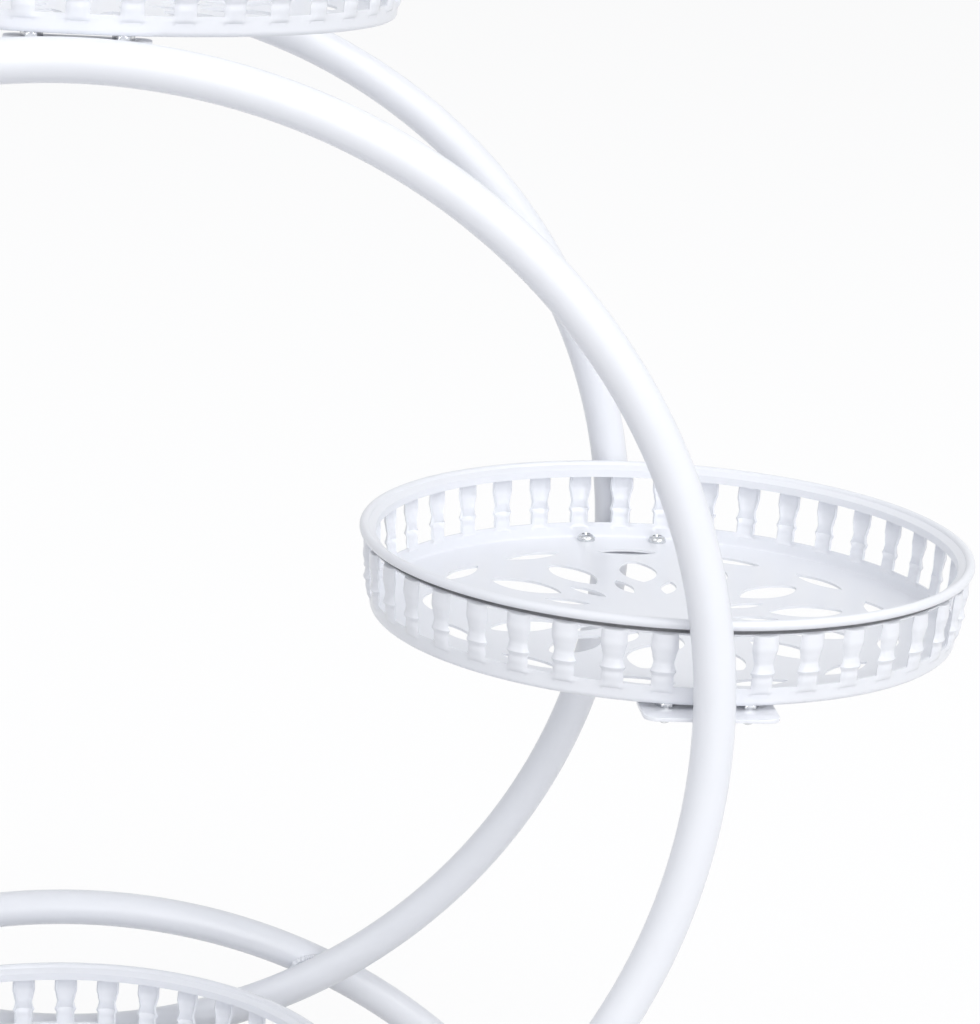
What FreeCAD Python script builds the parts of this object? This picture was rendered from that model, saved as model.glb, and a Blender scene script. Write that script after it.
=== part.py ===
"""Tiered plant stand: four perforated round trays carried between two upright tube hoops.

Frame: +Z up, Y from front to back, origin on the floor under the middle of the stand.
All sizes are in millimetres.
"""

import FreeCAD, Part
import os
from math import cos, pi, radians, sin, sqrt

V = FreeCAD.Vector
ORIGIN = V(0, 0, 0)
X_AXIS = V(1, 0, 0)
Y_AXIS = V(0, 1, 0)
Z_AXIS = V(0, 0, 1)

# ---- driving dimensions: round tube and hoops
tube_diameter = 16.0
tube_wall = 1.2
hoop_radius = 240.0  # centreline
hoop_floor_clearance = 12.0  # floor to the lowest point of a hoop
tray_hoop_clearance = 0.6  # tray rim to the inner side of a hoop's tube

# ---- driving dimensions: foot arches and their end caps
arch_rise = 75.0  # floor to the arch's centreline at its top
arch_half_span = 186.0  # middle of the stand to the arch's centreline at the floor
weld_gap = 0.4  # between the arch and hoop tubes where they cross
weld_radius = 5.0
cap_thickness = 4.0
cap_overhang = 1.0
plug_length = 10.0
plug_clearance = 0.15

# ---- driving dimensions: trays
tray_rim_diameter = 251.0  # over the rolled rim
tray_height = 35.0  # underside of the floor to the top of the rim
sheet = 1.0
rim_bead_diameter = 4.0
wall_taper = 2.4  # how much the wall leans out from floor to rim
corner_radius = 2.0  # outside, between floor and wall
pot_area_radius = 104.0  # face of the floor that a pot stands on, inside the ring of screws
side_tray_outset = 1.0  # centre of a side tray beyond the hoop's centreline

# ---- driving dimensions: openings in the tray wall
slot_count = 40
slot_width = 9.0
slot_height = 21.0
slot_sill = 7.4  # underside of the floor to the bottom of a slot
slot_corner = 0.8

# ---- driving dimensions: leaf-shaped openings in the tray floor
leaves_per_ring = 13
broad_leaf = {"radius": 63.0, "length": 34.0, "width": 16.0, "nose": 3.5}
slim_leaf = {"radius": 39.5, "length": 20.0, "width": 6.5}
border_leaf = {"radius": 94.0, "length": 28.0, "width": 8.5}

# ---- driving dimensions: mounting tabs
tab_width = 52.0
tab_thickness = 1.5
tab_corner = 5.0
tab_weld_lap = 2.0  # how far a tab reaches round the back of the tube
tab_margin = 10.0  # screw centre to the tab's free edge
floor_rise = 7.2  # underside of a tray above the hoop's centreline at its tabs
bottom_floor_rise = 3.5  # the same for the bottom tray

# ---- driving dimensions: M4 fasteners
screw_spacing = 32.0
screw_inset = 13.0  # tray rim to the screw's centre
screw_diameter = 4.0
thread_clearance = 0.05  # radial, between the screw and both nuts
hole_clearance = 0.2  # radial, between the screw and sheet or tab
head_diameter = 8.0
head_height = 3.1
head_edge = 1.0
recess_width = 1.0
recess_span = 4.4
recess_depth = 1.5
nut_width = 7.0  # across flats
spacer_nut_height = 2.0
cap_nut_hex = 2.2
cap_nut_dome = 3.4
cap_nut_depth = 4.4
screw_end_clearance = 0.5

# ---- derived sizes
tube_radius = tube_diameter / 2
bore_radius = tube_radius - tube_wall
hoop_z = hoop_floor_clearance + tube_radius + hoop_radius
hoop_y = tray_rim_diameter / 2 + tray_hoop_clearance + tube_radius
arch_y = hoop_y + tube_diameter + weld_gap
arch_radius = (arch_rise**2 + arch_half_span**2) / (2 * arch_rise)
arch_z = arch_rise - arch_radius
rim_radius = tray_rim_diameter / 2
bead_radius = rim_bead_diameter / 2
bead_centre_radius = rim_radius - bead_radius
bead_z = tray_height - bead_radius
wall_top_radius = bead_centre_radius - bead_radius + sheet  # outside of the wall under the rim
wall_foot_radius = wall_top_radius - wall_taper
screw_y = rim_radius - screw_inset
screw_radius = screw_diameter / 2 - thread_clearance
thread_radius = screw_diameter / 2
hole_radius = screw_diameter / 2 + hole_clearance
screw_length = sheet + spacer_nut_height + tab_thickness + cap_nut_depth - screw_end_clearance
side_x = hoop_radius + side_tray_outset

# Underside of each tray's floor: (x, z) of its centre.
TRAYS = {
    "top": (0.0, hoop_z + hoop_radius + floor_rise),
    "left": (-side_x, hoop_z + floor_rise),
    "right": (side_x, hoop_z + floor_rise),
    "bottom": (0.0, hoop_z - hoop_radius + bottom_floor_rise),
}
SIDES = {"front": -1, "rear": 1}


def torus(ring_radius, section_radius, centre):
    """Solid ring that stands upright, with its axis along Y."""
    return Part.makeTorus(ring_radius, section_radius, centre, Y_AXIS)


def hoop(y):
    """Closed hoop of round tube."""
    centre = V(0, y, hoop_z)
    return torus(hoop_radius, tube_radius, centre).cut(torus(hoop_radius, bore_radius, centre))


def slab(low, high):
    """Wide level block between two heights."""
    reach = 4 * arch_radius
    return Part.makeBox(reach, reach, high - low, V(-reach / 2, -reach / 2, low))


def foot_arch(y):
    """Arch of round tube, cut level at the top of its end caps."""
    centre = V(0, y, arch_z)
    tube = torus(arch_radius, tube_radius, centre).cut(torus(arch_radius, bore_radius, centre))
    top = arch_rise + tube_diameter
    return tube.common(slab(cap_thickness, top))


def arch_end_cap(side, y):
    """Cap for one arch end: a pad that follows the slanted tube, and a plug inside the tube."""
    centre = V(0, y, arch_z)
    half = Part.makeBox(2 * arch_radius, 4 * tube_diameter, 2 * arch_rise, V(0, y - 2 * tube_diameter, 0))
    if side < 0:
        half = half.mirror(ORIGIN, X_AXIS)
    pad = torus(arch_radius, tube_radius + cap_overhang, centre).common(slab(0, cap_thickness))
    plug_top = cap_thickness + plug_length
    plug = torus(arch_radius, bore_radius - plug_clearance, centre).common(slab(cap_thickness, plug_top))
    return pad.fuse(plug).common(half).removeSplitter()


def crossing():
    """(x, z) where the centrelines of hoop and arch cross, on the right."""
    apart = hoop_z - arch_z
    along = (arch_radius**2 - hoop_radius**2 + apart**2) / (2 * apart)
    return sqrt(arch_radius**2 - along**2), arch_z + along


def arch_welds(side):
    """Weld beads that fill the gap between the hoop and its arch, one at each crossing."""
    x, z = crossing()
    beads = []
    for x_side in (-1, 1):
        start = V(x_side * x, side * hoop_y, z)
        bead = Part.makeCylinder(weld_radius, arch_y - hoop_y, start, V(0, side, 0))
        bead = bead.cut(torus(hoop_radius, tube_radius, V(0, side * hoop_y, hoop_z)))
        bead = bead.cut(torus(arch_radius, tube_radius, V(0, side * arch_y, arch_z)))
        beads.extend(bead.Solids)
    return Part.makeCompound(beads)


def tray_blank():
    """Tray before it is pierced: flat floor, rounded corner, leaning wall and rolled rim."""
    inner_corner = corner_radius - sheet
    low_z = corner_radius
    lean = cos(radians(45))
    outside_mid = V(
        wall_foot_radius - corner_radius * (1 - lean), 0, corner_radius * (1 - lean)
    )
    inside_mid = V(
        wall_foot_radius - corner_radius + inner_corner * lean, 0, corner_radius - inner_corner * lean
    )
    a = V(0, 0, 0)
    b = V(wall_foot_radius - corner_radius, 0, 0)
    c = V(wall_foot_radius, 0, low_z)
    d = V(wall_top_radius, 0, bead_z)
    e = V(wall_top_radius - sheet, 0, bead_z)
    f = V(wall_foot_radius - sheet, 0, low_z)
    g = V(wall_foot_radius - corner_radius, 0, sheet)
    pot_edge = V(pot_area_radius, 0, sheet)
    h = V(0, 0, sheet)
    edges = [
        Part.makeLine(a, b),
        Part.Arc(b, outside_mid, c).toShape(),
        Part.makeLine(c, d),
        Part.makeLine(d, e),
        Part.makeLine(e, f),
        Part.Arc(f, inside_mid, g).toShape(),
        Part.makeLine(g, pot_edge),
        Part.makeLine(pot_edge, h),
        Part.makeLine(h, a),
    ]
    dish = Part.Face(Part.Wire(edges)).revolve(ORIGIN, Z_AXIS, 360)
    rim = Part.makeTorus(bead_centre_radius, bead_radius, V(0, 0, bead_z), Z_AXIS)
    return dish.fuse(rim)


def wall_slots():
    """Cutters for the row of upright openings between the bars of the wall."""
    inside = wall_foot_radius - 4 * sheet
    depth = rim_radius + sheet - inside
    slot = Part.makeBox(depth, slot_width, slot_height, V(inside, -slot_width / 2, slot_sill))
    along_x = [e for e in slot.Edges if abs(e.BoundBox.XLength - depth) < 1e-6]
    slot = slot.makeFillet(slot_corner, along_x)
    pitch = 360 / slot_count
    return [slot.rotated(ORIGIN, Z_AXIS, (i + 0.5) * pitch) for i in range(slot_count)]


def leaf(radius, length, width, angle, tilt, nose=0):
    """Cutter for one leaf; tilt 0 points it at the tray's centre, and nose rounds its outer tip."""
    tip_in = V(-length / 2, 0, -sheet)
    tip_out = V(length / 2, 0, -sheet)
    one_side = Part.Arc(tip_in, V(0, width / 2, -sheet), tip_out).toShape()
    other_side = Part.Arc(tip_out, V(0, -width / 2, -sheet), tip_in).toShape()
    cutter = Part.Face(Part.Wire([one_side, other_side])).extrude(V(0, 0, 3 * sheet))
    if nose:
        outer_tip = [e for e in cutter.Edges if e.BoundBox.XMin > length / 2 - 1e-6]
        cutter = cutter.makeFillet(nose, outer_tip)
    cutter.rotate(ORIGIN, Z_AXIS, tilt)
    cutter.translate(V(radius, 0, 0))
    cutter.rotate(ORIGIN, Z_AXIS, angle)
    return cutter


def floor_leaves():
    """Cutters for the rosette: slim, broad and border leaves, counted from the rear."""
    pitch = 360 / leaves_per_ring
    cutters = []
    for i in range(leaves_per_ring):
        angle = 90 + i * pitch
        cutters.append(leaf(angle=angle, tilt=0, **broad_leaf))
        cutters.append(leaf(angle=angle + pitch / 2, tilt=0, **slim_leaf))
        cutters.append(leaf(angle=angle, tilt=90, **border_leaf))
    return cutters


def screw_places():
    """(x, y) of the four screws of a tray, from the tray's centre."""
    return [(x * screw_spacing / 2, y * screw_y) for y in (-1, 1) for x in (-1, 1)]


def tray():
    """One tray, with the underside of its floor at z = 0."""
    holes = [
        Part.makeCylinder(hole_radius, 3 * sheet, V(x, y, -sheet), Z_AXIS) for x, y in screw_places()
    ]
    return tray_blank().cut(wall_slots() + floor_leaves() + holes)


def tab(side):
    """Mounting tab welded to the inner side of a hoop, top face at z = 0, under x = 0."""
    outer_y = hoop_y - tube_radius + tab_weld_lap
    inner_y = screw_y - tab_margin
    plate = Part.makeBox(
        tab_width, outer_y - inner_y, tab_thickness, V(-tab_width / 2, inner_y, -tab_thickness)
    )
    upright = [e for e in plate.Edges if abs(e.BoundBox.ZLength - tab_thickness) < 1e-6]
    plate = plate.makeFillet(tab_corner, upright)
    for x in (-screw_spacing / 2, screw_spacing / 2):
        hole = Part.makeCylinder(hole_radius, 3 * tab_thickness, V(x, screw_y, -2 * tab_thickness), Z_AXIS)
        plate = plate.cut(hole)
    if side < 0:
        plate = plate.mirror(ORIGIN, Y_AXIS)
    return plate


def hexagon(height, base_z):
    """Hexagonal prism with two flats facing front and back."""
    corner = nut_width / sqrt(3)
    points = [V(corner * cos(k * pi / 3), corner * sin(k * pi / 3), base_z) for k in range(7)]
    return Part.Face(Part.makePolygon(points)).extrude(V(0, 0, height))


def pan_head_screw():
    """Screw with its head on z = 0 and its shank below."""
    radius = head_diameter / 2
    crown = V(radius * cos(radians(45)), 0, head_edge + (head_height - head_edge) * sin(radians(45)))
    edges = [
        Part.makeLine(V(0, 0, 0), V(radius, 0, 0)),
        Part.makeLine(V(radius, 0, 0), V(radius, 0, head_edge)),
        Part.Arc(V(radius, 0, head_edge), crown, V(0, 0, head_height)).toShape(),
        Part.makeLine(V(0, 0, head_height), V(0, 0, 0)),
    ]
    head = Part.Face(Part.Wire(edges)).revolve(ORIGIN, Z_AXIS, 360)
    for along_x, along_y in ((recess_span, recess_width), (recess_width, recess_span)):
        corner = V(-along_x / 2, -along_y / 2, head_height - recess_depth)
        head = head.cut(Part.makeBox(along_x, along_y, 2 * recess_depth, corner))
    shank = Part.makeCylinder(screw_radius, screw_length, V(0, 0, -screw_length), Z_AXIS)
    return head.fuse(shank).removeSplitter()


def spacer_nut():
    """Hexagon nut that stands on z = 0."""
    bore = Part.makeCylinder(thread_radius, 3 * spacer_nut_height, V(0, 0, -spacer_nut_height), Z_AXIS)
    return hexagon(spacer_nut_height, 0).cut(bore)


def cap_nut():
    """Domed nut that hangs below z = 0, with a blind bore."""
    dome_radius = nut_width / 2
    crown = V(dome_radius * cos(radians(45)), 0, -cap_nut_hex - cap_nut_dome * sin(radians(45)))
    edges = [
        Part.makeLine(V(0, 0, -cap_nut_hex), V(dome_radius, 0, -cap_nut_hex)),
        Part.Arc(V(dome_radius, 0, -cap_nut_hex), crown, V(0, 0, -cap_nut_hex - cap_nut_dome)).toShape(),
        Part.makeLine(V(0, 0, -cap_nut_hex - cap_nut_dome), V(0, 0, -cap_nut_hex)),
    ]
    dome = Part.Face(Part.Wire(edges)).revolve(ORIGIN, Z_AXIS, 360)
    bore = Part.makeCylinder(thread_radius, cap_nut_depth, V(0, 0, -cap_nut_depth), Z_AXIS)
    return hexagon(cap_nut_hex, -cap_nut_hex).fuse(dome).removeSplitter().cut(bore)


def at_screws(piece, x, z):
    """Copies of a piece at the four screws of the tray at (x, z), as a group of solids."""
    return Part.makeCompound([piece.translated(V(x + dx, dy, z)) for dx, dy in screw_places()])


def build():
    """Every node of the stand, by name."""
    nodes = {}
    for name, side in SIDES.items():
        nodes[f"{name}_hoop"] = hoop(side * hoop_y)
        nodes[f"{name}_foot_arch"] = foot_arch(side * arch_y)
        nodes[f"{name}_arch_welds"] = arch_welds(side)
        for hand, x_side in (("left", -1), ("right", 1)):
            nodes[f"{name}_{hand}_foot_cap"] = arch_end_cap(x_side, side * arch_y)
    dish = tray()
    tabs = {name: tab(side) for name, side in SIDES.items()}
    tubes = {name: torus(hoop_radius, tube_radius, V(0, s * hoop_y, hoop_z)) for name, s in SIDES.items()}
    for place, (x, z) in TRAYS.items():
        nodes[f"{place}_tray"] = dish.translated(V(x, 0, z))
        tab_top = z - spacer_nut_height
        for name in SIDES:
            nodes[f"{name}_{place}_tab"] = tabs[name].translated(V(x, 0, tab_top)).cut(tubes[name])
        nodes[f"{place}_tray_screws"] = at_screws(pan_head_screw(), x, z + sheet)
        nodes[f"{place}_spacer_nuts"] = at_screws(spacer_nut(), x, tab_top)
        nodes[f"{place}_cap_nuts"] = at_screws(cap_nut(), x, tab_top - tab_thickness)
    return nodes


def main():
    os.makedirs("parts", exist_ok=True)
    for name, shape in build().items():
        shape.exportStep(f"parts/{name}.step")
        box = shape.BoundBox
        low = f"{box.XMin:7.1f} {box.YMin:7.1f} {box.ZMin:7.1f}"
        high = f"{box.XMax:7.1f} {box.YMax:7.1f} {box.ZMax:7.1f}"
        print(f"{name:24s} solids {len(shape.Solids)} valid {shape.isValid()} from {low} to {high}")


main()
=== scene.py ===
"""Dressed model of the tiered plant stand: pressed trays, painted tube, welds and plated fasteners.

All lengths are in metres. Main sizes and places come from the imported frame's boxes.
"""

from math import atan2, cos, hypot, pi, radians, sin, sqrt

import bmesh
import bpy
from mathutils import Matrix, Vector
from mathutils.geometry import delaunay_2d_cdt


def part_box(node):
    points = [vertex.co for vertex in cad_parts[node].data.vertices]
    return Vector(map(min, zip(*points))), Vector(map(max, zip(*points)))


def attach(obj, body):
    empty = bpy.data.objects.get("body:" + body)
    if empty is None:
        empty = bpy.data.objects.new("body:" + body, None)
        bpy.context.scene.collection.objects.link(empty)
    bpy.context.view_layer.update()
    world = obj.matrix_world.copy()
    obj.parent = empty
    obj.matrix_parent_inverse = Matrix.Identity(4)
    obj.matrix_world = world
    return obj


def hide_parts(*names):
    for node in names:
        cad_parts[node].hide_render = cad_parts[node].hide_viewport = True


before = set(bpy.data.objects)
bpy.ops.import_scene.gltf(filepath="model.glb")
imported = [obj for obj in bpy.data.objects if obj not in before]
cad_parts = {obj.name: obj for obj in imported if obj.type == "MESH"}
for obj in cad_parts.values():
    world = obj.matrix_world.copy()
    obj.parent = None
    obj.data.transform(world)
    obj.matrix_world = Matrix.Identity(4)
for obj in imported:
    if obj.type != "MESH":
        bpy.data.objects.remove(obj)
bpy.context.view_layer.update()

PLACES = ("top", "left", "right", "bottom")
SIDES = {"front": -1, "rear": 1}

# ---- sizes read from the frame
HOOP_LOW, HOOP_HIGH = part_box("rear_hoop")
TUBE_RADIUS = (HOOP_HIGH.y - HOOP_LOW.y) / 2
HOOP_Y = (HOOP_HIGH.y + HOOP_LOW.y) / 2
HOOP_Z = (HOOP_HIGH.z + HOOP_LOW.z) / 2
HOOP_RADIUS = (HOOP_HIGH.x - HOOP_LOW.x) / 2 - TUBE_RADIUS
ARCH_LOW, ARCH_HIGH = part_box("rear_foot_arch")
ARCH_Y = (ARCH_HIGH.y + ARCH_LOW.y) / 2
ARCH_RISE = ARCH_HIGH.z - TUBE_RADIUS
CAP_LOW, CAP_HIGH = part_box("rear_right_foot_cap")
CAP_REACH = (CAP_HIGH.y - CAP_LOW.y) / 2
TRAY_LOW, TRAY_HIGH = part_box("right_tray")
RIM_RADIUS = (TRAY_HIGH.x - TRAY_LOW.x) / 2
TRAY_HEIGHT = TRAY_HIGH.z - TRAY_LOW.z
TAB_LOW, TAB_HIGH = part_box("rear_right_tab")
TAB_THICKNESS = TAB_HIGH.z - TAB_LOW.z

# ---- foot arches and caps
ARCH_HALF_SPAN = 0.186
ARCH_RADIUS = (ARCH_RISE**2 + ARCH_HALF_SPAN**2) / (2 * ARCH_RISE)
ARCH_Z = ARCH_RISE - ARCH_RADIUS
CAP_THICKNESS = 0.004

# ---- trays
SHEET = 0.001
BEAD_RADIUS = 0.002
WALL_TAPER = 0.0024
CORNER_RADIUS = 0.002
SLOT_COUNT = 40
SLOT_WIDTH = 0.009
SLOT_SILL = 0.0074
SLOT_HEIGHT = 0.021
SLOT_TOP = SLOT_SILL + SLOT_HEIGHT
BEAD_Z = TRAY_HEIGHT - BEAD_RADIUS
WALL_TOP_RADIUS = RIM_RADIUS - 2 * BEAD_RADIUS + SHEET
WALL_FOOT_RADIUS = WALL_TOP_RADIUS - WALL_TAPER
FLOOR_RING_RADII = (0.104, 0.110, 0.115)  # rows of the plain ring round the pierced middle of the floor
PLAIN_BAND_START = 0.0006  # height over the corner between floor and wall
BAR_END = 0.0024  # how far a bar's rounded foot reaches over the plain band
BAR_HEAD = ((0.0002, 0.8), (0.0004, 0.4), (0.0006, 0.0))  # (height over the slots, share of the relief)
CORNER_STEPS = 5
BAR_STEPS = 30
BAR_COLUMNS = 8
SLOT_COLUMNS = 3
CURL_STEPS = 12
CURL_END = radians(255)
TRAY_WELD = 2e-6  # distance under which points of the sheet and of its pierced middle are one
OPENING_REACH = 0.06  # more than any opening's length, to pick the openings near a face
LEAVES_PER_RING = 13
BROAD_LEAF = {"radius": 0.063, "length": 0.034, "width": 0.016, "nose": 0.0035}
SLIM_LEAF = {"radius": 0.0395, "length": 0.020, "width": 0.0065}
BORDER_LEAF = {"radius": 0.094, "length": 0.028, "width": 0.0085}

# ---- groove between the bars and the curled rim: (height over the slots, depth)
GROOVE = (
    (0.0007, 0.0006),
    (0.0009, 0.0016),
    (0.0011, 0.0026),
    (0.0029, 0.0026),
    (0.0036, 0.0018),
    (0.0042, 0.0005),
)

# ---- pressed bars of the tray wall: (height in the slot, half width, relief), from sill to top
BAR_SHAPE = (
    (0.00, 0.0042, 0.0012),
    (0.12, 0.0043, 0.0016),
    (0.21, 0.0041, 0.0014),
    (0.30, 0.0050, 0.0024),
    (0.37, 0.0043, 0.0018),
    (0.47, 0.0039, 0.0014),
    (0.60, 0.0045, 0.0018),
    (0.75, 0.0052, 0.0022),
    (0.90, 0.0051, 0.0018),
    (1.00, 0.0049, 0.0015),
)

# ---- M4 fasteners
SCREW_SPACING = 0.032
SCREW_INSET = 0.013
HOLE_RADIUS = 0.0022
HEAD_RADIUS = 0.004
HEAD_HEIGHT = 0.0031
HEAD_EDGE = 0.001
SHANK_RADIUS = HOLE_RADIUS - 0.0003
SHANK_LENGTH = 0.002
RECESS_WIDTH = 0.001
RECESS_SPAN = 0.0044
RECESS_DEPTH = 0.0015
NUT_WIDTH = 0.007
NUT_CORNER = NUT_WIDTH / sqrt(3)
NUT_FACE = 1.01 * NUT_WIDTH / 2  # radius that the chamfer leaves on a nut's end face
NUT_CHAMFER = 0.0003
SPACER_HEIGHT = 0.002
CAP_NUT_HEX = 0.0022
CAP_NUT_DOME = 0.0034
SCREW_Y = RIM_RADIUS - SCREW_INSET

# ---- tabs and welds
TAB_CORNER = 0.005
TAB_LAP = 0.002
TAB_EDGE = 0.0003
TAB_BEAD_RADIUS = 0.0011
TAB_BEAD_RIPPLE = 0.0014
ARCH_THROAT = 0.0026  # gap between the tubes' surfaces that the arch's fillet bead fills
ARCH_BEAD_REACH = 0.0098
ARCH_BEAD_RADIUS = 0.0016
ARCH_BEAD_RIPPLE = 0.0016
ARCH_BEAD_STEP = 0.0004

# ---- stage
FLOOR_REACH = 30.0
FLOOR_COLOUR = (0.64, 0.64, 0.65, 1)
FLOOR_WHITE = 1.10  # strength of the white that the camera and mirrors see on the floor
FLOOR_WHITE_SHARE = 0.80
WORLD_COLOUR = (0.94, 0.96, 1.0, 1)
WORLD_STRENGTH = (0.42, 0.56)  # at the horizon and overhead
MIRROR_WHITE_SHARE = 0.8
WHITE = (1, 1, 1, 1)

# ---- lamps: (name, place, size, power)
LAMPS = (
    ("key", (3.20, -3.52, 4.60), 5.0, 192),
    ("fill", (-3.20, -2.56, 5.20), 5.0, 100),
    ("front", (0.60, -4.80, 1.50), 3.0, 54),
)

# ---- camera, as the photograph was taken
IMAGE_LONG_SIDE = 1024
FOCAL_PIXELS = 3143.2
CAMERA_PLACE = Vector((0.02181, -1.22538, HOOP_Z + 0.3682))
CAMERA_YAW = radians(6.799)
CAMERA_PITCH = radians(14.499)
CAMERA_ROLL = radians(3.311)


# ---------------------------------------------------------------- materials
def new_material(name):
    """Empty node material with its Principled shader."""
    material = bpy.data.materials.new(name)
    material.use_nodes = True
    return material, material.node_tree, material.node_tree.nodes["Principled BSDF"]


def noise(tree, scale, detail=3.0, roughness=0.5):
    """Noise in object space, so that every piece of one finish has it at the same scale."""
    coordinates = tree.nodes.new("ShaderNodeTexCoord")
    texture = tree.nodes.new("ShaderNodeTexNoise")
    texture.inputs["Scale"].default_value = scale
    texture.inputs["Detail"].default_value = detail
    texture.inputs["Roughness"].default_value = roughness
    tree.links.new(coordinates.outputs["Object"], texture.inputs["Vector"])
    return texture.outputs["Fac"]


def ramp(tree, factor, dark, light, low=0.3, high=0.7):
    """Colour that goes from dark to light over the middle of a factor's range."""
    node = tree.nodes.new("ShaderNodeValToRGB")
    node.color_ramp.elements[0].position = low
    node.color_ramp.elements[0].color = (*dark, 1)
    node.color_ramp.elements[1].position = high
    node.color_ramp.elements[1].color = (*light, 1)
    tree.links.new(factor, node.inputs["Fac"])
    return node.outputs["Color"]


def spread(tree, factor, low, high):
    """Number that goes from low to high with a factor."""
    node = tree.nodes.new("ShaderNodeMapRange")
    node.inputs["From Min"].default_value = 0.3
    node.inputs["From Max"].default_value = 0.7
    node.inputs["To Min"].default_value = low
    node.inputs["To Max"].default_value = high
    tree.links.new(factor, node.inputs["Value"])
    return node.outputs["Result"]


def bump(tree, height, distance, strength, under=None):
    """Bump from a height, laid over another bump if one is given."""
    node = tree.nodes.new("ShaderNodeBump")
    node.inputs["Distance"].default_value = distance
    node.inputs["Strength"].default_value = strength
    tree.links.new(height, node.inputs["Height"])
    if under is not None:
        tree.links.new(under, node.inputs["Normal"])
    return node.outputs["Normal"]


def white_powder_coat():
    """Glossy, faintly bluish white powder coat with orange peel; painted shade, a dark grey, where the
    groove under the rim is marked.
    """
    material, tree, shader = new_material("white_powder_coat")
    tone = ramp(tree, noise(tree, 35.0), (0.862, 0.876, 0.918), (0.872, 0.886, 0.926))
    # painted shade: the variable steel holds a dark grey that stands in for the shadow in the groove under
    # the rim, not bare steel
    steel = ramp(tree, noise(tree, 300.0), (0.42, 0.42, 0.44), (0.52, 0.52, 0.54))
    # painted shade: the mask that puts the dark grey into the groove under the rim
    groove_shade_mask = tree.nodes.new("ShaderNodeAttribute")
    groove_shade_mask.attribute_name = "painted_groove_shade"
    mix = tree.nodes.new("ShaderNodeMix")
    mix.data_type = "RGBA"
    colours = [socket for socket in mix.inputs if socket.type == "RGBA"]
    mixed = [socket for socket in mix.outputs if socket.type == "RGBA"]
    tree.links.new(groove_shade_mask.outputs["Fac"], mix.inputs[0])
    tree.links.new(tone, colours[0])
    tree.links.new(steel, colours[1])
    tree.links.new(mixed[0], shader.inputs["Base Color"])
    tree.links.new(spread(tree, noise(tree, 140.0), 0.30, 0.36), shader.inputs["Roughness"])
    peel = bump(tree, noise(tree, 700.0, detail=1.5), 0.00002, 0.2)
    waves = bump(tree, noise(tree, 90.0, detail=1.0), 0.00003, 0.06, under=peel)
    tree.links.new(waves, shader.inputs["Normal"])
    shader.inputs["Coat Weight"].default_value = 0.35
    shader.inputs["Coat Roughness"].default_value = 0.24
    return material


def plated_steel():
    """Bright plated steel with fine tool marks."""
    material, tree, shader = new_material("plated_steel")
    tone = ramp(tree, noise(tree, 900.0), (0.60, 0.61, 0.63), (0.78, 0.79, 0.80))
    tree.links.new(tone, shader.inputs["Base Color"])
    shader.inputs["Metallic"].default_value = 1.0
    tree.links.new(spread(tree, noise(tree, 2500.0), 0.12, 0.22), shader.inputs["Roughness"])
    tree.links.new(bump(tree, noise(tree, 4000.0, detail=2.0), 0.00002, 0.3), shader.inputs["Normal"])
    return material


def foot_plastic():
    """Matt pale moulded plastic."""
    material, tree, shader = new_material("foot_plastic")
    tone = ramp(tree, noise(tree, 120.0), (0.66, 0.67, 0.69), (0.72, 0.73, 0.75))
    tree.links.new(tone, shader.inputs["Base Color"])
    tree.links.new(spread(tree, noise(tree, 300.0), 0.50, 0.65), shader.inputs["Roughness"])
    tree.links.new(bump(tree, noise(tree, 1800.0), 0.00005, 0.4), shader.inputs["Normal"])
    return material


FINISHES = {
    "white_paint": white_powder_coat(),
    "plated_steel": plated_steel(),
    "foot_plastic": foot_plastic(),
}


# ---------------------------------------------------------------- pieces
def mesh_object(name, vertices, faces, weld=1e-6):
    """Object from lists of points and faces, with doubled points merged and normals facing out."""
    mesh = bpy.data.meshes.new(name)
    mesh.from_pydata([tuple(v) for v in vertices], [], faces)
    build = bmesh.new()
    build.from_mesh(mesh)
    bmesh.ops.remove_doubles(build, verts=build.verts, dist=weld)
    bmesh.ops.recalc_face_normals(build, faces=build.faces)
    build.to_mesh(mesh)
    build.free()
    piece = bpy.data.objects.new(name, mesh)
    bpy.context.collection.objects.link(piece)
    return piece


def apply_modifiers(piece):
    """Gives the piece the mesh that its modifiers make."""
    bpy.context.view_layer.update()
    graph = bpy.context.evaluated_depsgraph_get()
    mesh = bpy.data.meshes.new_from_object(piece.evaluated_get(graph), depsgraph=graph)
    piece.modifiers.clear()
    piece.data = mesh
    return piece


def bevelled(piece, width, segments=2, angle=40):
    """Rounds the piece's sharp edges."""
    modifier = piece.modifiers.new("edges", "BEVEL")
    modifier.width = width
    modifier.segments = segments
    modifier.limit_method = "ANGLE"
    modifier.angle_limit = radians(angle)
    modifier.harden_normals = False
    return apply_modifiers(piece)


def thickened(piece, thickness):
    """Turns a surface into sheet, with its thickness behind the surface."""
    modifier = piece.modifiers.new("sheet", "SOLIDIFY")
    modifier.thickness = thickness
    modifier.offset = -1
    modifier.use_even_offset = True
    modifier.use_quality_normals = True
    return apply_modifiers(piece)


def smooth_shaded(piece, angle=35):
    """Smooth shading with the edges over an angle kept sharp."""
    build = bmesh.new()
    build.from_mesh(piece.data)
    for face in build.faces:
        face.smooth = True
    for edge in build.edges:
        edge.smooth = len(edge.link_faces) == 2 and edge.calc_face_angle(0) < radians(angle)
    build.to_mesh(piece.data)
    build.free()
    return piece


def finished(piece, slot, *nodes):
    """Gives the piece its finish and body, and hides the nodes that it stands for."""
    piece.data.materials.clear()
    piece.data.materials.append(FINISHES[slot])
    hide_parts(*nodes)
    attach(piece, "root")
    return piece


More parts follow.
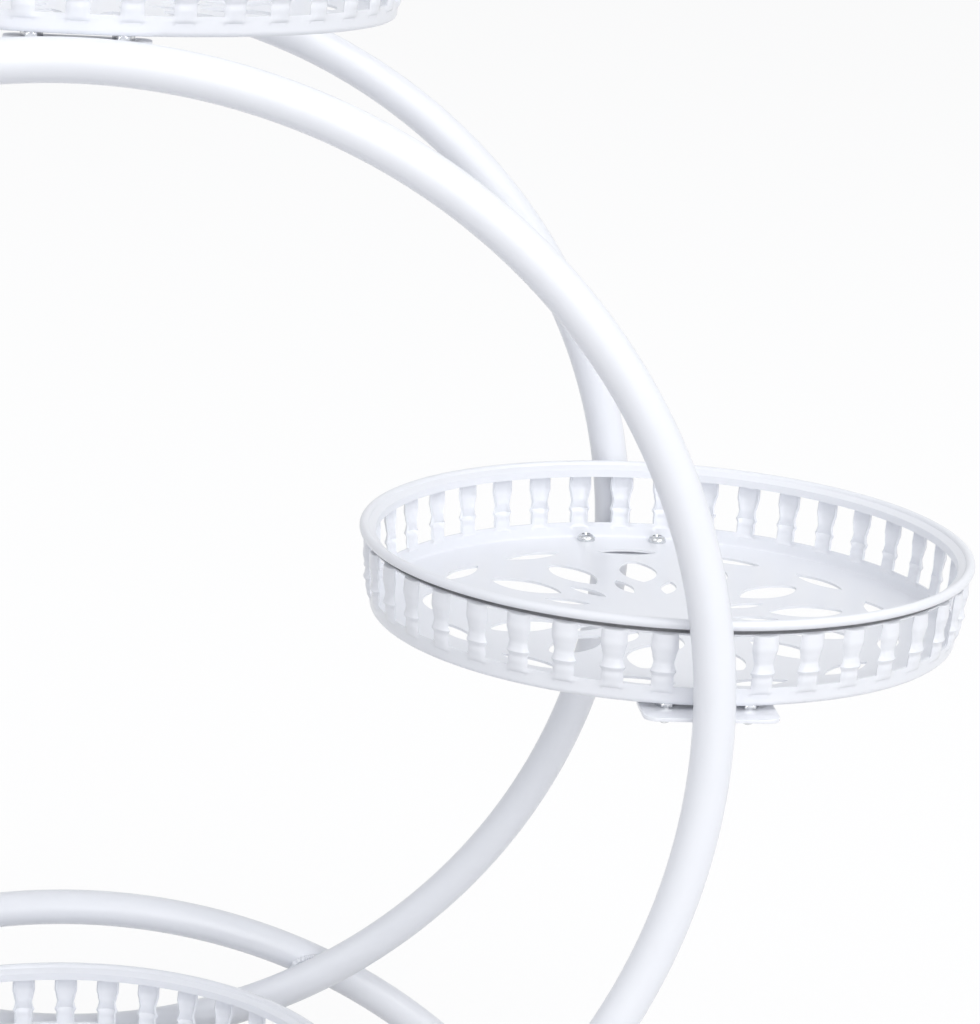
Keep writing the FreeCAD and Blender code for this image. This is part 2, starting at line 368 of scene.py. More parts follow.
def several(name, prototype, places):
    """One object that holds a copy of the prototype's mesh at each place."""
    build = bmesh.new()
    for place in places:
        start = len(build.verts)
        build.from_mesh(prototype.data)
        build.verts.ensure_lookup_table()
        bmesh.ops.translate(build, verts=build.verts[start:], vec=place)
    mesh = bpy.data.meshes.new(name)
    build.to_mesh(mesh)
    build.free()
    piece = bpy.data.objects.new(name, mesh)
    bpy.context.collection.objects.link(piece)
    return piece


def aim_faces(piece, chosen, up):
    """Turns the whole surface over where its chosen face looks the wrong way, up or down."""
    build = bmesh.new()
    build.from_mesh(piece.data)
    build.faces.ensure_lookup_table()
    if (chosen(build.faces).normal.z > 0) != up:
        bmesh.ops.reverse_faces(build, faces=build.faces)
    build.to_mesh(piece.data)
    build.free()


def ring_faces(rows, around, closed=False):
    """Quads between neighbouring rows of points, each row a closed ring of the same count."""
    faces = []
    for i in range(rows if closed else rows - 1):
        near, far = i * around, (i + 1) % rows * around
        for k in range(around):
            k2 = (k + 1) % around
            faces.append((near + k, near + k2, far + k2, far + k))
    return faces


def end_faces(rows, around):
    """Faces that close the first and the last row."""
    return [tuple(range(around)), tuple(range((rows - 1) * around, rows * around))]


def seam_turn(points, vertices, around):
    """Steps by which a closed tube's last ring is turned against its first one."""
    first, last = vertices[0] - points[0], vertices[-around] - points[-1]
    tangent = (points[1] - points[-1]).normalized()
    twist = atan2(tangent.dot(last.cross(first)), last.dot(first))
    return round(-twist / (2 * pi) * around) % around


def swept(points, radius_at, around=16, closed=False):
    """Vertices and faces of a tube along points; radius_at(index) gives its radius."""
    count = len(points)
    vertices = []
    normal = None
    for i, point in enumerate(points):
        before = points[i - 1] if closed or i else points[0]
        after = points[(i + 1) % count] if closed or i + 1 < count else points[-1]
        tangent = (after - before).normalized()
        if normal is None:
            normal = tangent.orthogonal().normalized()
        normal = (normal - tangent * normal.dot(tangent)).normalized()
        other = tangent.cross(normal)
        for k in range(around):
            turn = 2 * pi * k / around
            vertices.append(point + (normal * cos(turn) + other * sin(turn)) * radius_at(i))
    faces = ring_faces(count, around)
    if not closed:
        return vertices, faces + end_faces(count, around)
    near = (count - 1) * around
    shift = seam_turn(points, vertices, around)
    for k in range(around):
        k2 = (k + 1) % around
        faces.append((near + k, near + k2, (k2 + shift) % around, (k + shift) % around))
    return vertices, faces


def upright_ring(ring_radius, tube_radius, centre, start=0.0, end=2 * pi, along=288, around=32):
    """Vertices and faces of a bent tube whose plane stands upright across Y."""
    closed = end - start > 2 * pi - 1e-6
    count = along if closed else along + 1
    vertices = []
    for i in range(count):
        turn = start + (end - start) * i / along
        outward = Vector((sin(turn), 0, cos(turn)))
        for k in range(around):
            section = 2 * pi * k / around
            offset = outward * (tube_radius * cos(section)) + Vector((0, tube_radius * sin(section), 0))
            vertices.append(centre + outward * ring_radius + offset)
    return vertices, ring_faces(count, around, closed)


def joined(name, parts, weld=1e-7):
    """One object from several (vertices, faces) lists."""
    vertices, faces = [], []
    for more_vertices, more_faces in parts:
        start = len(vertices)
        vertices.extend(more_vertices)
        faces.extend(tuple(start + i for i in face) for face in more_faces)
    return mesh_object(name, vertices, faces, weld)


def hoop(side_name, side):
    """Closed hoop of round tube."""
    centre = Vector((0, side * HOOP_Y, HOOP_Z))
    piece = joined(f"{side_name}_hoop_tube", [upright_ring(HOOP_RADIUS, TUBE_RADIUS, centre)])
    return finished(smooth_shaded(piece), "white_paint", f"{side_name}_hoop")


def foot_arch(side_name, side):
    """Arch of round tube whose ends are hidden in their caps."""
    centre = Vector((0, side * ARCH_Y, ARCH_Z))
    end = atan2(ARCH_HALF_SPAN, -ARCH_Z)
    vertices, faces = upright_ring(ARCH_RADIUS, TUBE_RADIUS, centre, -end, end, along=160)
    inside_cap = CAP_THICKNESS / 2
    for v in vertices:
        v.z = max(v.z, inside_cap)
    piece = joined(f"{side_name}_arch_tube", [(vertices, faces)])
    return finished(smooth_shaded(piece), "white_paint", f"{side_name}_foot_arch")


def arch_section(z, reach, x_side, y, around):
    """Level section, at height z, of a tube of radius reach bent as the arch is."""
    points = []
    middle = sqrt(ARCH_RADIUS**2 - (z - ARCH_Z) ** 2)
    stretch = ARCH_RADIUS / middle
    for k in range(around):
        turn = 2 * pi * k / around
        x = x_side * (middle + reach * stretch * cos(turn))
        points.append(Vector((x, y + reach * sin(turn), z)))
    return points


def foot_cap(side_name, side, hand, x_side):
    """Moulded end cap: a slanted pad with rounded edges and a groove round it."""
    edge = 0.0008
    groove = 0.0004
    rows = (
        (0.0, CAP_REACH - edge),
        (0.25 * edge, CAP_REACH - 0.3 * edge),
        (edge, CAP_REACH),
        (0.45 * CAP_THICKNESS, CAP_REACH),
        (0.50 * CAP_THICKNESS, CAP_REACH - groove),
        (0.60 * CAP_THICKNESS, CAP_REACH - groove),
        (0.65 * CAP_THICKNESS, CAP_REACH),
        (CAP_THICKNESS - edge, CAP_REACH),
        (CAP_THICKNESS - 0.25 * edge, CAP_REACH - 0.3 * edge),
        (CAP_THICKNESS, CAP_REACH - edge),
    )
    around = 48
    vertices = []
    for z, reach in rows:
        vertices.extend(arch_section(z, reach, x_side, side * ARCH_Y, around))
    faces = ring_faces(len(rows), around) + end_faces(len(rows), around)
    piece = mesh_object(f"{side_name}_{hand}_foot_pad", vertices, faces)
    return finished(smooth_shaded(piece), "foot_plastic", f"{side_name}_{hand}_foot_cap")


# ---------------------------------------------------------------- weld beads
def rippled(radius, length_per_ripple, spacing, depth=0.16):
    """Radius of a weld bead at each of its points, with the ripples of the torch's steps."""
    return lambda i: radius * (1 + depth * cos(2 * pi * i * spacing / length_per_ripple))


def arch_welds(side_name, side):
    """Fillet bead round the spot where the arch crosses the hoop, on each side of the stand."""
    apart = HOOP_Z - ARCH_Z
    along = (ARCH_RADIUS**2 - HOOP_RADIUS**2 + apart**2) / (2 * apart)
    x, z = sqrt(ARCH_RADIUS**2 - along**2), ARCH_Z + along
    y = side * (HOOP_Y + ARCH_Y) / 2
    ripples = rippled(ARCH_BEAD_RADIUS, ARCH_BEAD_RIPPLE, ARCH_BEAD_STEP)
    count = 120
    parts = []
    for x_side in (-1, 1):
        hoop_turn = atan2(z - HOOP_Z, x_side * x) + pi / 2
        arch_turn = atan2(z - ARCH_Z, x_side * x) + pi / 2
        points = []
        for k in range(count):
            turn = 2 * pi * k / count
            drop = sin(turn - hoop_turn) ** 2 + sin(turn - arch_turn) ** 2
            reach = min(sqrt(2 * TUBE_RADIUS * ARCH_THROAT / drop), ARCH_BEAD_REACH)
            points.append(Vector((x_side * x + reach * cos(turn), y, z + reach * sin(turn))))
        parts.append(swept(points, ripples, closed=True))
    piece = joined(f"{side_name}_arch_weld_beads", parts)
    return finished(smooth_shaded(piece, 60), "white_paint", f"{side_name}_arch_welds")


# ---------------------------------------------------------------- trays
def wall_radius(z):
    """Outside of the plain wall at a height above the floor's underside."""
    return WALL_FOOT_RADIUS + WALL_TAPER * (z - CORNER_RADIUS) / (BEAD_Z - CORNER_RADIUS)


def bar_at(height):
    """Half width and relief of a bar at a height in the slot, from 0 at its sill to 1 at its top."""
    for (h0, w0, r0), (h1, w1, r1) in zip(BAR_SHAPE, BAR_SHAPE[1:]):
        if height <= h1:
            t = (height - h0) / (h1 - h0)
            t = t * t * (3 - 2 * t)
            return w0 + (w1 - w0) * t, r0 + (r1 - r0) * t
    return BAR_SHAPE[-1][1:]


def floor_and_band_rows(rest_width):
    """Rows of the floor's plain ring, the bent corner and the plain band under the bars."""
    flat_end = WALL_FOOT_RADIUS - CORNER_RADIUS
    rows = [(radius, 0.0, rest_width, 0.0, False) for radius in (*FLOOR_RING_RADII, flat_end)]
    for k in range(1, CORNER_STEPS + 1):
        turn = pi / 2 * k / CORNER_STEPS
        radius = flat_end + CORNER_RADIUS * sin(turn)
        rows.append((radius, CORNER_RADIUS * (1 - cos(turn)), rest_width, 0.0, False))
    band_start = CORNER_RADIUS + PLAIN_BAND_START
    for share in (0.0, 0.5, 1.0):
        z = band_start + (SLOT_SILL - BAR_END - band_start) * share
        rows.append((wall_radius(z), z, rest_width, 0.0, False))
    return rows


def bar_rows(rest_width):
    """Rows of the bars, from their rounded feet to their heads just over the slots."""
    foot_width, foot_relief = bar_at(0)
    _, head_relief = bar_at(1)
    rows = []
    for share in (0.15, 0.4, 0.7):
        z = SLOT_SILL - BAR_END * (1 - share)
        width = rest_width + (foot_width - rest_width) * share
        rows.append((wall_radius(z), z, width, foot_relief * sqrt(1 - (1 - share) ** 2), False))
    for k in range(BAR_STEPS + 1):
        z = SLOT_SILL + SLOT_HEIGHT * k / BAR_STEPS
        width, relief = bar_at(k / BAR_STEPS)
        rows.append((wall_radius(z), z, width, relief, k < BAR_STEPS))
    for rise, share in BAR_HEAD:
        z = SLOT_TOP + rise
        rows.append((wall_radius(z), z, rest_width, head_relief * share, False))
    return rows


def rim_rows(rest_width):
    """Rows of the groove over the bars and of the curled rim."""
    rows = []
    for rise, depth in GROOVE:
        z = SLOT_TOP + rise
        rows.append((wall_radius(z) - depth, z, rest_width, 0.0, False))
    inner = BEAD_RADIUS - SHEET
    for k in range(CURL_STEPS + 1):
        turn = CURL_END * k / CURL_STEPS
        radius = RIM_RADIUS - BEAD_RADIUS - inner * cos(turn)
        rows.append((radius, BEAD_Z + inner * sin(turn), rest_width, 0.0, False))
    return rows


def sheet_rows():
    """Rows of the tray's sheet, from the floor's plain ring up to the curl's end.

    Each row is (radius, z, half width of a bar, relief of a bar, whether the slots are open over it).
    """
    rest_width = (2 * pi * wall_radius(SLOT_SILL) / SLOT_COUNT - SLOT_WIDTH) / 2
    return floor_and_band_rows(rest_width) + bar_rows(rest_width) + rim_rows(rest_width)


def leaf_side(length, width, nose, steps=12):
    """Points along one side of a leaf, from its inner tip to its outer one, which a nose rounds."""
    half = length / 2
    sag = width / 2
    arc_radius = (half**2 + sag**2) / (2 * sag)
    drop = arc_radius - sag
    start = -atan2(half, drop)
    nose_x = sqrt((arc_radius - nose) ** 2 - drop**2)
    end = atan2(nose_x, drop)
    points = []
    for k in range(steps + 1):
        turn = start + (end - start) * k / steps
        points.append((arc_radius * sin(turn), arc_radius * cos(turn) - drop))
    nose_steps = 4 if nose else 0
    for k in range(1, nose_steps + 1):
        turn = end + (pi / 2 - end) * k / nose_steps
        points.append((nose_x + nose * sin(turn), nose * cos(turn)))
    return points


def leaf_outline(radius, length, width, angle, tilt, nose=0.0):
    """Closed outline of a leaf; tilt 0 points it at the tray's centre, and nose rounds its outer tip."""
    side = leaf_side(length, width, nose)
    points = side + [(x, -y) for x, y in side[-2:0:-1]]
    placed = []
    for x, y in points:
        px = radius + x * cos(tilt) - y * sin(tilt)
        py = x * sin(tilt) + y * cos(tilt)
        placed.append((px * cos(angle) - py * sin(angle), px * sin(angle) + py * cos(angle)))
    return placed


def floor_outlines():
    """Outlines of all leaf openings of a floor, counted from the rear."""
    pitch = 2 * pi / LEAVES_PER_RING
    outlines = []
    for i in range(LEAVES_PER_RING):
        angle = pi / 2 + i * pitch
        outlines.append(leaf_outline(angle=angle, tilt=0, **BROAD_LEAF))
        outlines.append(leaf_outline(angle=angle + pitch / 2, tilt=0, **SLIM_LEAF))
        outlines.append(leaf_outline(angle=angle, tilt=pi / 2, **BORDER_LEAF))
    return outlines


def inside(point, outline):
    """True if a point lies inside a closed outline."""
    x, y = point
    result = False
    for (x0, y0), (x1, y1) in zip(outline, outline[1:] + outline[:1]):
        if (y0 > y) != (y1 > y) and x < x0 + (x1 - x0) * (y - y0) / (y1 - y0):
            result = not result
    return result


def pierced_disc(rim, holes):
    """Vertices and faces of a flat disc with an outer outline and holes, at z = 0."""
    points, edges = [], []
    for outline in [rim] + holes:
        start = len(points)
        points.extend(Vector(p) for p in outline)
        count = len(outline)
        edges.extend((start + i, start + (i + 1) % count) for i in range(count))
    found, _, triangles, *_ = delaunay_2d_cdt(points, edges, [], 1, 1e-7)
    faces = []
    for face in triangles:
        middle = sum((found[i] for i in face), Vector((0, 0))) / len(face)
        near = [h for h in holes if hypot(middle[0] - h[0][0], middle[1] - h[0][1]) < OPENING_REACH]
        if not any(inside(middle, h) for h in near):
            faces.append(tuple(face))
    return [Vector((p[0], p[1], 0.0)) for p in found], faces


def mark_painted_groove_shade(piece):
    """Marks the bottom of the groove under the rim, where painted shade darkens the coat."""
    # painted shade: faces deep in the groove get the dark grey that stands in for its shadow
    mark = piece.data.attributes.new("painted_groove_shade", "FLOAT", "FACE")
    deepest = max(depth for _, depth in GROOVE)
    for face in piece.data.polygons:
        rise = face.center.z - SLOT_TOP
        depth = wall_radius(face.center.z) - hypot(face.center.x, face.center.y)
        beside_groove = GROOVE[0][0] < rise < GROOVE[-1][0]
        outer_side = deepest / 3 < depth < deepest + SHEET / 4
        mark.data[face.index].value = 1.0 if beside_groove and outer_side else 0.0
    return piece


def row_points(radius, z, half_width, relief):
    """Points once round a row of the sheet; a bar stands out by its relief, the space beside it doesn't."""
    pitch = 2 * pi / SLOT_COUNT
    points = []
    for i in range(SLOT_COUNT):
        for j in range(BAR_COLUMNS + SLOT_COLUMNS):
            if j <= BAR_COLUMNS:
                across = -1 + 2 * j / BAR_COLUMNS
                offset = half_width * across / radius
                out = relief * sqrt(max(0.0, 1 - across**2))
            else:
                share = (j - BAR_COLUMNS) / SLOT_COLUMNS
                offset = half_width / radius + (pitch - 2 * half_width / radius) * share
                out = 0.0
            turn = i * pitch + offset - pi / 2
            points.append(Vector(((radius + out) * cos(turn), (radius + out) * sin(turn), z)))
    return points


def sheet_faces(rows):
    """Quads between neighbouring rows of the sheet, with the slots left out."""
    period = BAR_COLUMNS + SLOT_COLUMNS
    columns = period * SLOT_COUNT
    faces = []
    for r, (*_, slots_open) in enumerate(rows[:-1]):
        under, over = r * columns, (r + 1) * columns
        for c in range(columns):
            if slots_open and c % period >= BAR_COLUMNS:
                continue
            c2 = (c + 1) % columns
            faces.append((under + c, over + c, over + c2, under + c2))
    return faces


def lowest_face(faces):
    """The face that lies lowest, and of those the one nearest to the middle."""
    return min(faces, key=lambda f: (f.calc_center_median().z, f.calc_center_median().length))


def tray_sheet():
    """The pressed tray: pierced floor, wall of ornamental bars and curled rim, underside at z = 0."""
    rows = sheet_rows()
    vertices = []
    for *row, _ in rows:
        vertices.extend(row_points(*row))
    rim = [(v.x, v.y) for v in vertices[: len(vertices) // len(rows)]]
    parts = [(vertices, sheet_faces(rows)), pierced_disc(rim, floor_outlines())]
    piece = joined("tray_sheet", parts, TRAY_WELD)
    aim_faces(piece, lowest_face, up=False)
    # the groove under the rim gets its painted shade mark here
    return smooth_shaded(mark_painted_groove_shade(thickened(piece, SHEET)), 38)


def trays():
    """The four trays, all of one pressing."""
    prototype = tray_sheet()
    for place in PLACES:
        low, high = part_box(f"{place}_tray")
        mesh = prototype.data.copy()
        mesh.transform(Matrix.Translation(((low.x + high.x) / 2, (low.y + high.y) / 2, low.z)))
        piece = bpy.data.objects.new(f"{place}_tray_pressing", mesh)
        bpy.context.collection.objects.link(piece)
        finished(piece, "white_paint", f"{place}_tray")
    bpy.data.objects.remove(prototype)


# ---------------------------------------------------------------- tabs
def tube_back(x, z):
    """Distance from the middle plane to the hoop tube's inner surface, or None beside the tube."""
    off = hypot(x, z - HOOP_Z) - HOOP_RADIUS
    if abs(off) >= TUBE_RADIUS:
        return None
    return HOOP_Y - sqrt(TUBE_RADIUS**2 - off**2)


def tab_outline(centre_x, z, low_y, width):
    """Outline of a tab, with rounded corners and its outer edge coped to the tube, for the rear side."""
    half = width / 2
    outer = HOOP_Y - TUBE_RADIUS + TAB_LAP
    steps = 6
    points = []
    corners = (
        (half - TAB_CORNER, low_y + TAB_CORNER, -pi / 2),
        (half - TAB_CORNER, outer - TAB_CORNER, 0.0),
        (-half + TAB_CORNER, outer - TAB_CORNER, pi / 2),
        (-half + TAB_CORNER, low_y + TAB_CORNER, pi),
    )
    for index, (x, y, start) in enumerate(corners):
        for k in range(steps + 1):
            turn = start + pi / 2 * k / steps
            points.append((centre_x + x + TAB_CORNER * cos(turn), y + TAB_CORNER * sin(turn)))
        if index == 1:
            count = 40
            for k in range(1, count):
                points.append((centre_x + x - 2 * x * k / count, outer))
    coped = []
    for x, y in points:
        back = tube_back(x, z)
        coped.append((x, min(y, back) if back is not None else y))
    return coped


def circle(x, y, radius, count=24):
    """Closed outline of a circle."""
    turns = [2 * pi * k / count for k in range(count)]
    return [(x + radius * cos(turn), y + radius * sin(turn)) for turn in turns]


def tab_weld(centre_x, z, half_width):
    """Points along the line where a tab's face meets the tube, for the rear side."""
    sunk = 0.0002
    count = 80
    points = []
    for k in range(count + 1):
        x = centre_x - half_width + 2 * half_width * k / count
        back = tube_back(x, z)
        if back is not None and back <= HOOP_Y - TUBE_RADIUS + TAB_LAP:
            points.append(Vector((x, back - sunk, z)))
    return points


def tab_plate(name, low, high, side):
    """Plate of a tab, with its screw holes and rounded edges, inside the box of its node."""
    centre_x = (low.x + high.x) / 2
    inner_y = min(abs(low.y), abs(high.y))
    outline = tab_outline(centre_x, (low.z + high.z) / 2, inner_y, high.x - low.x)
    holes = [circle(centre_x + s * SCREW_SPACING / 2, SCREW_Y, HOLE_RADIUS) for s in (-1, 1)]
    vertices, faces = pierced_disc(outline, holes)
    for v in vertices:
        v.y *= side
        v.z = high.z
    plate = mesh_object(name, vertices, faces)
    aim_faces(plate, lambda plate_faces: plate_faces[0], up=True)
    return bevelled(thickened(plate, TAB_THICKNESS), TAB_EDGE, 2, 50)


def add_tab_beads(plate, low, high, side):
    """Adds weld beads to the plate, along the tube at the tab's lower and upper face."""
    shortest = 4
    build = bmesh.new()
    build.from_mesh(plate.data)
    for z in (low.z, high.z):
        points = tab_weld((low.x + high.x) / 2, z, (high.x - low.x) / 2 - TAB_CORNER)
        if len(points) < shortest:
            continue
        for p in points:
            p.y *= side
        spacing = (points[-1] - points[0]).length / len(points)
        ripples = rippled(TAB_BEAD_RADIUS, TAB_BEAD_RIPPLE, spacing)
        bead, bead_faces = swept(points, ripples, around=12)
        added = [build.verts.new(v) for v in bead]
        for face in bead_faces:
            build.faces.new([added[i] for i in face])
    bmesh.ops.recalc_face_normals(build, faces=build.faces)
    build.to_mesh(plate.data)
    build.free()


def tab(place, side_name, side):
    """Mounting tab with rounded edges and its weld beads."""
    low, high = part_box(f"{side_name}_{place}_tab")
    plate = tab_plate(f"{side_name}_{place}_tab_plate", low, high, side)
    add_tab_beads(plate, low, high, side)
    return finished(smooth_shaded(plate, 45), "white_paint", f"{side_name}_{place}_tab")


# ---------------------------------------------------------------- fasteners
def polar_solid(name, rows, around=72):
    """Closed solid from rows of (z, radius at an angle), from bottom to top."""
    vertices = []
    for z, radius_at in rows:
        for k in range(around):
            turn = 2 * pi * k / around
            radius = radius_at(turn)
            vertices.append(Vector((radius * cos(turn), radius * sin(turn), z)))
    return mesh_object(name, vertices, ring_faces(len(rows), around) + end_faces(len(rows), around))


def round_row(radius):
    """Radius of a circle at any angle."""
    return lambda turn: radius


def hex_row(cone):
    """Radius of a hexagon at any angle, with its corners cut back to a circle."""
    return lambda turn: min(NUT_WIDTH / 2 / cos(turn % (pi / 3) - pi / 6), cone)


def recess_cutter():
    """Cross that widens upwards, to cut the recess out of a screw's head."""
    arm = RECESS_WIDTH / 2
    reach = RECESS_SPAN / 2
    outline = [
        (arm, arm), (arm, reach), (-arm, reach), (-arm, arm), (-reach, arm), (-reach, -arm),
        (-arm, -arm), (-arm, -reach), (arm, -reach), (arm, -arm), (reach, -arm), (reach, arm),
    ]
    over_head = 0.001
    bottom, top = HEAD_HEIGHT - RECESS_DEPTH, HEAD_HEIGHT + over_head
    vertices = []
    for z, share in ((bottom, 0.55), (top, 1.25)):
        for x, y in outline:
            end_x = x * share if abs(x) > arm else x
            end_y = y * share if abs(y) > arm else y
            vertices.append(Vector((end_x, end_y, z)))
    count = len(outline)
    return mesh_object("recess", vertices, end_faces(2, count) + ring_faces(2, count))


def pan_head_screw():
    """Head with a rounded crown and a cross recess, seat at z = 0."""
    foot_round = 0.0001
    rows = [
        (-SHANK_LENGTH, round_row(SHANK_RADIUS)),
        (0.0, round_row(SHANK_RADIUS)),
        (0.0, round_row(HEAD_RADIUS - foot_round)),
        (2 * foot_round, round_row(HEAD_RADIUS)),
        (HEAD_EDGE, round_row(HEAD_RADIUS)),
    ]
    steps = 9
    for k in range(1, steps):
        turn = pi / 2 * k / steps
        z = HEAD_EDGE + (HEAD_HEIGHT - HEAD_EDGE) * sin(turn)
        rows.append((z, round_row(HEAD_RADIUS * cos(turn))))
    screw = polar_solid("screw", rows, 48)
    cutter = recess_cutter()
    modifier = screw.modifiers.new("recess", "BOOLEAN")
    modifier.operation = "DIFFERENCE"
    modifier.solver = "EXACT"
    modifier.object = cutter
    apply_modifiers(screw)
    bpy.data.objects.remove(cutter)
    return smooth_shaded(screw, 35)


def cap_nut():
    """Domed nut that hangs below z = 0."""
    dome_radius = 0.96 * NUT_WIDTH / 2
    tip_radius = 0.0002
    steps = 10
    rows = []
    for k in range(1, steps + 1):
        turn = pi / 2 * k / steps
        radius = max(dome_radius * sin(turn), tip_radius)
        rows.append((-CAP_NUT_HEX - CAP_NUT_DOME * cos(turn), round_row(radius)))
    rows.append((-CAP_NUT_HEX, hex_row(NUT_FACE)))
    rows.append((-CAP_NUT_HEX + 0.0004, hex_row(NUT_CORNER)))
    rows.append((-NUT_CHAMFER, hex_row(NUT_CORNER)))
    rows.append((0.0, hex_row(1.02 * NUT_WIDTH / 2)))
    return smooth_shaded(polar_solid("cap_nut", rows), 30)


def spacer_nut():
    """Hexagon nut that stands on z = 0."""
    rows = [
        (0.0, hex_row(NUT_FACE)),
        (NUT_CHAMFER, hex_row(NUT_CORNER)),
        (SPACER_HEIGHT - NUT_CHAMFER, hex_row(NUT_CORNER)),
        (SPACER_HEIGHT, hex_row(NUT_FACE)),
    ]
    return smooth_shaded(polar_solid("spacer_nut", rows), 30)


def fasteners():
    """Screws, spacer nuts and cap nuts at every tray."""
    screw, spacer, cap = pan_head_screw(), spacer_nut(), cap_nut()
    for place in PLACES:
        low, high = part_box(f"{place}_tray")
        x = (low.x + high.x) / 2
        spots = [(x + sx * SCREW_SPACING / 2, sy * SCREW_Y) for sx in (-1, 1) for sy in (-1, 1)]
        spacer_z = low.z - SPACER_HEIGHT
        for word, prototype, z, node in (
            ("screw_heads", screw, low.z + SHEET, f"{place}_tray_screws"),
            ("spacers", spacer, spacer_z, f"{place}_spacer_nuts"),
            ("domed_nuts", cap, spacer_z - TAB_THICKNESS, f"{place}_cap_nuts"),
        ):
            piece = several(f"{place}_{word}", prototype, [Vector((px, py, z)) for px, py in spots])
            finished(smooth_shaded(piece, 35), "plated_steel", node)
    for prototype in (screw, spacer, cap):
        bpy.data.objects.remove(prototype)


# ---------------------------------------------------------------- stage
def larger(tree, first, second):
    """The larger of two numbers of a node tree."""
    node = tree.nodes.new("ShaderNodeMath")
    node.operation = "MAXIMUM"
    tree.links.new(first, node.inputs[0])
    tree.links.new(second, node.inputs[1])
    return node.outputs[0]


def times(tree, number, factor):
    """A number of a node tree times a fixed factor."""
    node = tree.nodes.new("ShaderNodeMath")
    node.operation = "MULTIPLY"
    node.inputs[1].default_value = factor
    tree.links.new(number, node.inputs[0])
    return node.outputs[0]


def mixed_surface(tree, output, share, first, second):
    """Mixes two shaders by a share of the second, and sends them to the tree's output."""
    mix = tree.nodes.new("ShaderNodeMixShader")
    tree.links.new(share, mix.inputs[0])
    tree.links.new(first.outputs[0], mix.inputs[1])
    tree.links.new(second.outputs[0], mix.inputs[2])
    tree.links.new(mix.outputs[0], tree.nodes.new(output).inputs["Surface"])


def world_light():
    """Soft studio light, low at the horizon and high overhead.

    It shows white to the camera and through glass, and nearly white in mirrors.
    """
    world = bpy.data.worlds.new("studio")
    bpy.context.scene.world = world
    world.use_nodes = True
    tree = world.node_tree
    tree.nodes.clear()
    rays = tree.nodes.new("ShaderNodeLightPath").outputs
    seen = larger(tree, rays["Is Camera Ray"], rays["Is Transmission Ray"])
    shows_white = larger(tree, seen, times(tree, rays["Is Glossy Ray"], MIRROR_WHITE_SHARE))
    coordinates = tree.nodes.new("ShaderNodeTexCoord")
    split = tree.nodes.new("ShaderNodeSeparateXYZ")
    height = tree.nodes.new("ShaderNodeMapRange")
    height.inputs["To Min"].default_value = WORLD_STRENGTH[0]
    height.inputs["To Max"].default_value = WORLD_STRENGTH[1]
    tree.links.new(coordinates.outputs["Generated"], split.inputs[0])
    tree.links.new(split.outputs["Z"], height.inputs["Value"])
    light = tree.nodes.new("ShaderNodeBackground")
    light.inputs["Color"].default_value = WORLD_COLOUR
    tree.links.new(height.outputs["Result"], light.inputs["Strength"])
    white = tree.nodes.new("ShaderNodeBackground")
    white.inputs["Color"].default_value = WHITE
    mixed_surface(tree, "ShaderNodeOutputWorld", shows_white, light, white)


def floor_material():
    """Pale matt floor that shows nearly white to the camera and in mirrors, and keeps a light shadow."""
    material = bpy.data.materials.new("studio_floor")
    material.use_nodes = True
    tree = material.node_tree
    tree.nodes.clear()
    rays = tree.nodes.new("ShaderNodeLightPath").outputs
    diffuse = tree.nodes.new("ShaderNodeBsdfDiffuse")
    diffuse.inputs["Color"].default_value = FLOOR_COLOUR
    white = tree.nodes.new("ShaderNodeEmission")
    white.inputs["Color"].default_value = WHITE
    white.inputs["Strength"].default_value = FLOOR_WHITE
    seen = larger(tree, rays["Is Camera Ray"], rays["Is Glossy Ray"])
    shows_white = times(tree, seen, FLOOR_WHITE_SHARE)
    mixed_surface(tree, "ShaderNodeOutputMaterial", shows_white, diffuse, white)
    return material


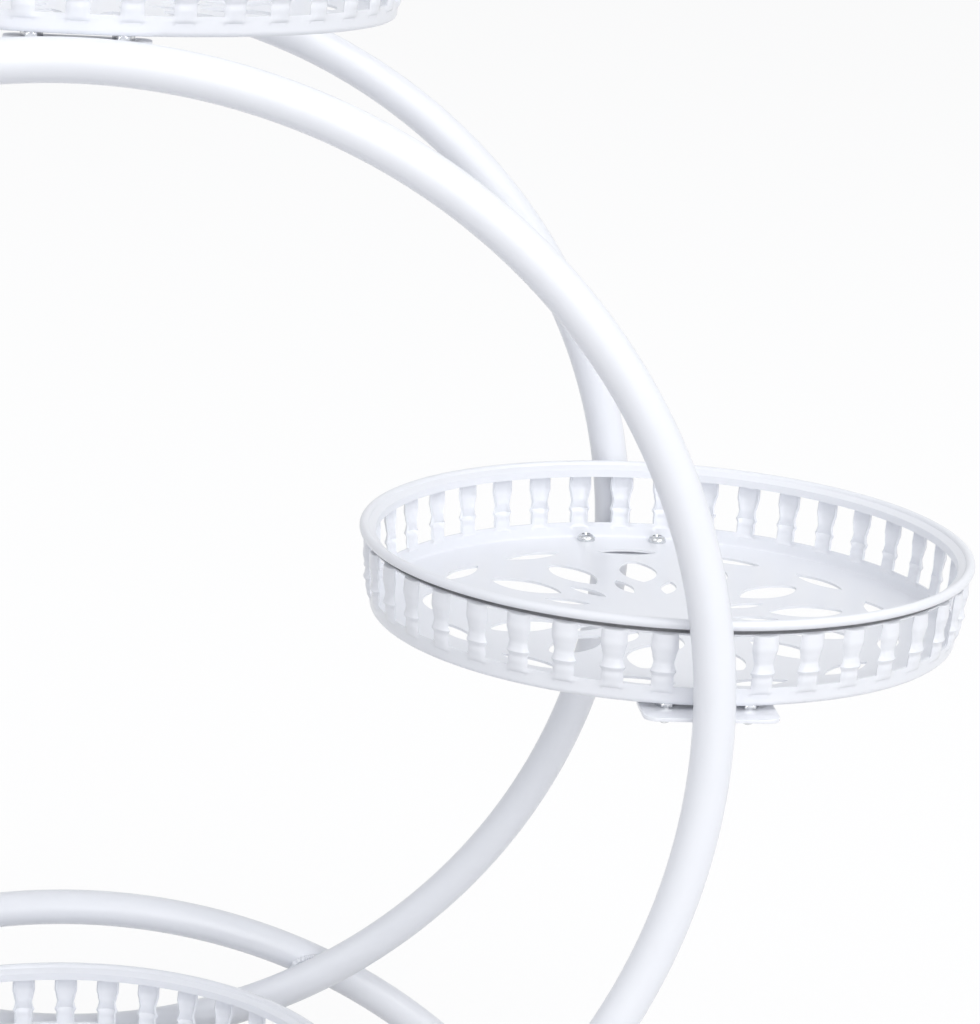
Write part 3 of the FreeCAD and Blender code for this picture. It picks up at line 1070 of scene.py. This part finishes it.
def pale_floor():
    """Wide round floor at z = 0."""
    outline = circle(0.0, 0.0, FLOOR_REACH, 64)
    vertices = [Vector((x, y, 0.0)) for x, y in outline]
    floor = mesh_object("studio_floor_disc", vertices, [tuple(range(len(outline)))])
    floor.data.materials.append(floor_material())


def soft_lamp(name, place, size, power):
    """Square area lamp that faces the hoops' middle."""
    data = bpy.data.lights.new(name, "AREA")
    data.shape = "SQUARE"
    data.size = size
    data.energy = power
    lamp = bpy.data.objects.new(name, data)
    bpy.context.collection.objects.link(lamp)
    lamp.location = place
    towards = Vector((0, 0, HOOP_Z)) - Vector(place)
    lamp.rotation_euler = towards.to_track_quat("-Z", "Y").to_euler()


def camera():
    """Camera at the photograph's place, direction and focal length."""
    data = bpy.data.cameras.new("camera")
    data.sensor_width = 36.0
    data.lens = FOCAL_PIXELS / IMAGE_LONG_SIDE * data.sensor_width
    data.clip_start = 0.05
    data.clip_end = 100.0
    forward = Vector(
        (
            sin(CAMERA_YAW) * cos(CAMERA_PITCH),
            cos(CAMERA_YAW) * cos(CAMERA_PITCH),
            -sin(CAMERA_PITCH),
        )
    )
    right = Vector((cos(CAMERA_YAW), -sin(CAMERA_YAW), 0))
    up = right.cross(forward)
    rolled_right = right * cos(CAMERA_ROLL) + up * sin(CAMERA_ROLL)
    rolled_up = up * cos(CAMERA_ROLL) - right * sin(CAMERA_ROLL)
    turned = Matrix((rolled_right, rolled_up, -forward)).transposed().to_4x4()
    view = bpy.data.objects.new("camera", data)
    bpy.context.collection.objects.link(view)
    view.matrix_world = Matrix.Translation(CAMERA_PLACE) @ turned
    bpy.context.scene.camera = view


def dressed_stand():
    """Every piece of the stand."""
    for side_name, side in SIDES.items():
        hoop(side_name, side)
        foot_arch(side_name, side)
        arch_welds(side_name, side)
        for hand, x_side in (("left", -1), ("right", 1)):
            foot_cap(side_name, side, hand, x_side)
        for place in PLACES:
            tab(place, side_name, side)
    trays()
    fasteners()


dressed_stand()
pale_floor()
world_light()
for lamp_values in LAMPS:
    soft_lamp(*lamp_values)
camera()

scene = bpy.context.scene
scene.view_settings.view_transform = "Standard"
